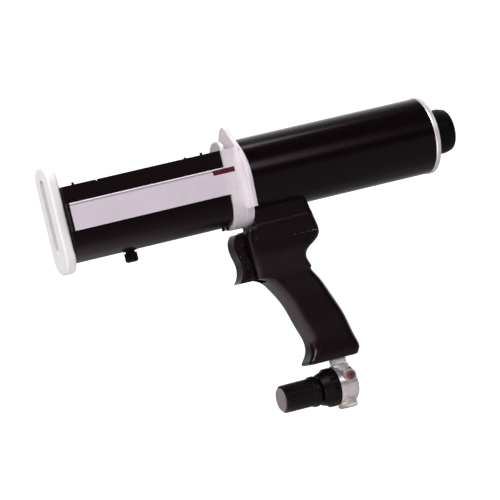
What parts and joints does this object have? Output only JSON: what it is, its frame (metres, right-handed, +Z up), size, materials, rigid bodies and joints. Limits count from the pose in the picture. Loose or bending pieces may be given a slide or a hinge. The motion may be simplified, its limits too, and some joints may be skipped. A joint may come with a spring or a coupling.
{
  "type": "air caulking gun",
  "caption": "Air-driven caulking gun for twin cartridges: slotted front plate, open cradle, air cylinder, pistol grip with trigger, and a pressure regulator under the grip.",
  "frame": {"origin": "Centre of the air inlet's mouth, under the regulator, on the tool's middle plane.", "axes": "X runs along the barrel from the front plate (-X) to the muffler cap (+X), Z is up, and the tool's left side is -Y."},
  "size_m": [0.5115, 0.094, 0.353],
  "materials": {
    "plate_aluminium": "bead-blasted, bright",
    "cradle_black": "glass-filled nylon, semi-matt black",
    "rail_aluminium": "clear anodised, satin",
    "zinc_steel": "zinc plated",
    "cast_aluminium": "die-cast, tumbled satin",
    "red_plastic": "dark red, moulded",
    "knob_black": "black acetal",
    "barrel_black": "black anodised tube, semi-matt",
    "seal_rubber": "nitrile",
    "ring_aluminium": "turned, bright",
    "bronze": "sintered bronze",
    "cap_black": "moulded, matt black",
    "hard_chrome": "hard chromed, ground",
    "saddle_black": "black coated die casting",
    "handle_black": "nylon, fine grain, black",
    "trigger_black": "nylon, semi-gloss black",
    "brass": "turned brass",
    "tube_grey": "polyamide air tube",
    "spring_steel": "drawn wire",
    "nickel": "nickel plated",
    "regulator_zinc": "die-cast zinc, bright blasted",
    "plug_copper": "dull copper plated",
    "disc_grey": "grey insert, satin"
  },
  "bodies": {
    "frame": {"front_plate": "plate_aluminium", "cradle": "cradle_black", "side_rail_left": "rail_aluminium", "side_rail_right": "rail_aluminium", "plate_screws": "zinc_steel", "rail_screws": "knob_black", "rail_rivets": "cast_aluminium", "carrier_head": "cast_aluminium", "head_screws": "zinc_steel", "cylinder_head": "cast_aluminium", "cylinder_tube": "barrel_black", "head_o_ring": "seal_rubber", "rear_plug": "ring_aluminium", "rear_o_ring": "seal_rubber", "transfer_tube": "zinc_steel", "rod_bushes": "bronze", "rod_seals": "seal_rubber", "muffler_cap": "cap_black", "muffler_disc": "bronze", "saddle": "saddle_black", "handle_left": "handle_black", "handle_right": "handle_black", "head_cover": "handle_black", "handle_screws": "zinc_steel", "valve_body": "brass", "supply_tube": "tube_grey", "outlet_tube": "tube_grey", "trigger_pin": "zinc_steel", "valve_spring": "spring_steel", "grip_nipple": "nickel", "regulator_body": "regulator_zinc", "gauge_plug": "plug_copper", "bonnet": "knob_black", "diaphragm": "seal_rubber", "poppet_plug": "brass", "inlet_bush": "brass", "range_spring": "spring_steel", "poppet_spring": "spring_steel"},
    "drive": {"piston": "ring_aluminium", "piston_seal": "seal_rubber", "piston_guide_ring": "cap_black", "transfer_seal": "seal_rubber", "push_rod_upper": "hard_chrome", "push_rod_lower": "hard_chrome", "rod_nuts": "zinc_steel", "pusher_upper": "ring_aluminium", "pusher_lower": "ring_aluminium", "pusher_screws": "zinc_steel"},
    "trigger": {"trigger": "trigger_black"},
    "valve": {"valve_spool": "brass", "spool_seals": "seal_rubber"},
    "catch": {"cartridge_catch": "red_plastic"},
    "clamp_pad": {"clamp_pad": "cradle_black"},
    "clamp_screw": {"clamp_screw": "knob_black"},
    "spindle": {"adjusting_spindle": "zinc_steel"},
    "knob": {"regulator_knob": "knob_black", "knob_disc": "disc_grey"},
    "button": {"spring_button": "zinc_steel"},
    "poppet": {"poppet": "brass"}
  },
  "joints": [
    {"name": "drive_slide", "type": "slide", "parent": "frame", "child": "drive", "axis": [-1, 0, 0], "range_m": [0, 0.175]},
    {"name": "trigger_pull", "type": "hinge", "parent": "frame", "child": "trigger", "pos_m": [-0.072, 0, 0.218], "axis": [0, -1, 0], "range_deg": [0, 10], "stiffness_Nm_per_rad": 1.5, "springref_deg": -8.59},
    {"name": "valve_slide", "type": "slide", "parent": "frame", "child": "valve", "axis": [1, 0, 0], "range_m": [0, 0.0031], "deforming": ["valve_spring"]},
    {"name": "catch_slide", "type": "slide", "parent": "frame", "child": "catch", "axis": [1, 0, 0], "range_m": [0, 0.0045]},
    {"name": "clamp_lift", "type": "slide", "parent": "frame", "child": "clamp_pad", "axis": [0, 0, 1], "range_m": [0, 0.0012]},
    {"name": "clamp_turn", "type": "hinge", "parent": "clamp_pad", "child": "clamp_screw", "pos_m": [-0.219, 0, 0.23], "axis": [0, 0, 1], "range_deg": [0, 432]},
    {"name": "spindle_turn", "type": "hinge", "parent": "frame", "child": "spindle", "pos_m": [-0.047, 0, 0.028], "axis": [1, 0, 0], "range_deg": [0, 1080]},
    {"name": "knob_pull", "type": "slide", "parent": "spindle", "child": "knob", "axis": [-1, 0, 0], "range_m": [0, 0.003]},
    {"name": "button_slide", "type": "slide", "parent": "frame", "child": "button", "axis": [1, 0, 0], "range_m": [0, 0.003], "deforming": ["range_spring"]},
    {"name": "poppet_slide", "type": "slide", "parent": "frame", "child": "poppet", "axis": [1, 0, 0], "range_m": [0, 0.0015], "stiffness_N_per_m": 800, "springref_m": -0.002, "deforming": ["poppet_spring"]}
  ],
  "couplings": [
    {"joint": "valve_slide", "follows": "trigger_pull", "m_per_rad": 0.0172},
    {"joint": "clamp_lift", "follows": "clamp_turn", "m_per_rad": 0.0001592},
    {"joint": "button_slide", "follows": "spindle_turn", "m_per_rad": 0.0001592}
  ]
}
